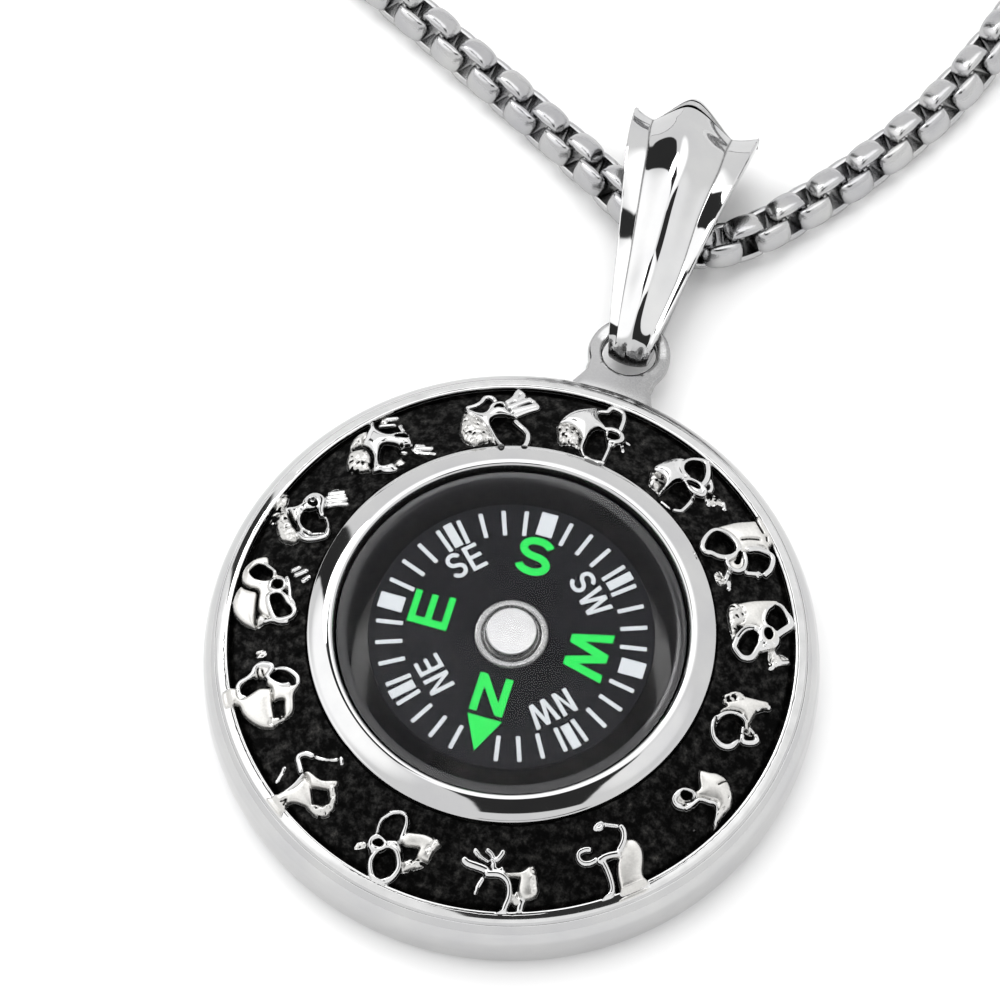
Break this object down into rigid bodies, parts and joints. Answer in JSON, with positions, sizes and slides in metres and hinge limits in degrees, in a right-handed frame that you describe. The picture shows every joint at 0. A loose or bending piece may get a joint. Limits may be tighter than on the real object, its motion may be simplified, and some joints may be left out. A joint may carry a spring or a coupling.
{
  "type": "compass pendant on a chain",
  "caption": "Round compass pendant with a skull relief band, a polished bezel, a fluted bail and a rounded box chain closed by a plain clasp.",
  "frame": {"origin": "centre of the case's flat back, on the surface that it lies on", "axes": "+Z out of the dial along the compass card's axis, +Y from the dial's centre to the eyelet and bail, +X to the right"},
  "size_m": [0.1692, 0.244, 0.0085],
  "materials": {
    "case_steel": "polished steel, blackened in the recesses",
    "bail_steel": "mirror polished steel",
    "chain_steel": "polished steel with a satin face",
    "clasp_steel": "polished steel",
    "black_plastic": "glossy black",
    "card_black": "satin black with white and green print",
    "hub_metal": "turned metal",
    "pin_brass": "turned",
    "clear_lens": "clear and polished"
  },
  "bodies": {
    "pendant": {"case": "case_steel", "capsule": "black_plastic", "pivot_pin": "pin_brass", "lens": "clear_lens", "bail": "bail_steel", "chain": "chain_steel", "clasp": "clasp_steel", "clasp_ring": "clasp_steel", "end_ring": "clasp_steel"},
    "card": {"dial_card": "card_black", "dial_hub": "hub_metal"}
  },
  "joints": [
    {"name": "card_spin", "type": "hinge", "parent": "pendant", "child": "card", "pos_m": [0, 0, 0.0068], "axis": [0, 0, 1], "continuous": true}
  ]
}
